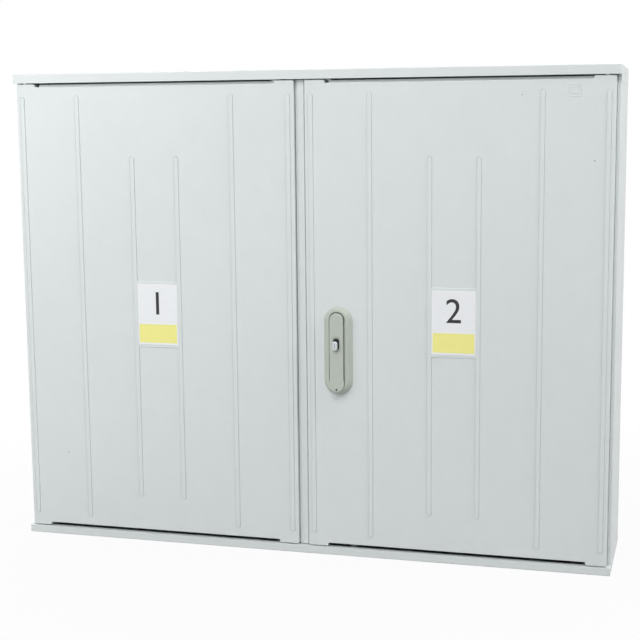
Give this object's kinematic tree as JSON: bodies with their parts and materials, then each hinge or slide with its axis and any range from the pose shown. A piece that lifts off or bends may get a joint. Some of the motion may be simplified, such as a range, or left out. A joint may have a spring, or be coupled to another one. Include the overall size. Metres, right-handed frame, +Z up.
{
  "type": "electrical enclosure",
  "caption": "Wide shallow wall enclosure of light grey moulded plastic: flat roof cap, ribbed doors beside a centre post, and a swing handle that works locking rods.",
  "frame": {"origin": "middle of the base plate's underside", "axes": "+X to the right seen from the front, +Y to the back (the doors face -Y), +Z up"},
  "size_m": [0.8, 0.172, 0.631],
  "materials": {
    "polyester": "light grey moulded",
    "handle_polyamide": "warm grey satin",
    "zinc_plated_steel": "zinc plated",
    "lock_chrome": "bright",
    "rubber": "soft black"
  },
  "bodies": {
    "cabinet": {"roof": "polyester", "base_plate": "polyester", "right_side_wall": "polyester", "left_side_wall": "polyester", "back_wall": "polyester", "centre_post": "polyester", "shell_screws": "zinc_plated_steel", "post_screws": "zinc_plated_steel", "hinge_pins": "zinc_plated_steel", "mounting_plate": "zinc_plated_steel", "plate_spacers": "zinc_plated_steel", "plate_screws": "zinc_plated_steel", "cable_entry_plate": "polyester", "cable_entry_screws": "zinc_plated_steel", "cable_grommets": "rubber"},
    "left_door_leaf": {"left_door": "polyester", "left_bolt_guides": "handle_polyamide", "left_guide_screws": "zinc_plated_steel"},
    "top_bolt": {"left_top_bolt": "zinc_plated_steel"},
    "bottom_bolt": {"left_bottom_bolt": "zinc_plated_steel"},
    "right_door_leaf": {"right_door": "polyester", "rod_guides": "handle_polyamide", "rod_guide_screws": "zinc_plated_steel", "gear_case": "handle_polyamide", "gear_cover": "zinc_plated_steel", "case_screws": "zinc_plated_steel", "handle_housing": "handle_polyamide", "housing_screws": "zinc_plated_steel"},
    "spindle": {"handle_spindle": "zinc_plated_steel", "spindle_ring": "zinc_plated_steel", "pinion": "zinc_plated_steel", "tilt_pin": "zinc_plated_steel"},
    "upper_lock_rod": {"upper_rod": "zinc_plated_steel"},
    "lower_lock_rod": {"lower_rod": "zinc_plated_steel"},
    "lever": {"handle_lever": "handle_polyamide"},
    "lock": {"lock_plug": "lock_chrome"}
  },
  "joints": [
    {"name": "left_door_swing", "type": "hinge", "parent": "cabinet", "child": "left_door_leaf", "pos_m": [-0.384, -0.07, 0.3], "axis": [0, 0, -1], "range_deg": [0, 120]},
    {"name": "right_door_swing", "type": "hinge", "parent": "cabinet", "child": "right_door_leaf", "pos_m": [0.384, -0.07, 0.3], "axis": [0, 0, 1], "range_deg": [0, 120]},
    {"name": "top_bolt_slide", "type": "slide", "parent": "left_door_leaf", "child": "top_bolt", "axis": [0, 0, -1], "range_m": [0, 0.014]},
    {"name": "bottom_bolt_slide", "type": "slide", "parent": "left_door_leaf", "child": "bottom_bolt", "axis": [0, 0, 1], "range_m": [0, 0.014]},
    {"name": "handle_turn", "type": "hinge", "parent": "right_door_leaf", "child": "spindle", "pos_m": [0.0495, -0.0775, 0.314], "axis": [0, -1, 0], "range_deg": [0, 90]},
    {"name": "upper_rod_slide", "type": "slide", "parent": "right_door_leaf", "child": "upper_lock_rod", "axis": [0, 0, -1], "range_m": [0, 0.01414]},
    {"name": "lower_rod_slide", "type": "slide", "parent": "right_door_leaf", "child": "lower_lock_rod", "axis": [0, 0, 1], "range_m": [0, 0.01414]},
    {"name": "lever_tilt", "type": "hinge", "parent": "spindle", "child": "lever", "pos_m": [0.0495, -0.0842, 0.3175], "axis": [-1, 0, 0], "range_deg": [0, 35]},
    {"name": "key_turn", "type": "hinge", "parent": "lever", "child": "lock", "pos_m": [0.0495, -0.0875, 0.282], "axis": [0, -1, 0], "range_deg": [0, 90]}
  ],
  "couplings": [
    {"joint": "upper_rod_slide", "follows": "handle_turn", "m_per_rad": 0.009},
    {"joint": "lower_rod_slide", "follows": "handle_turn", "m_per_rad": 0.009}
  ]
}
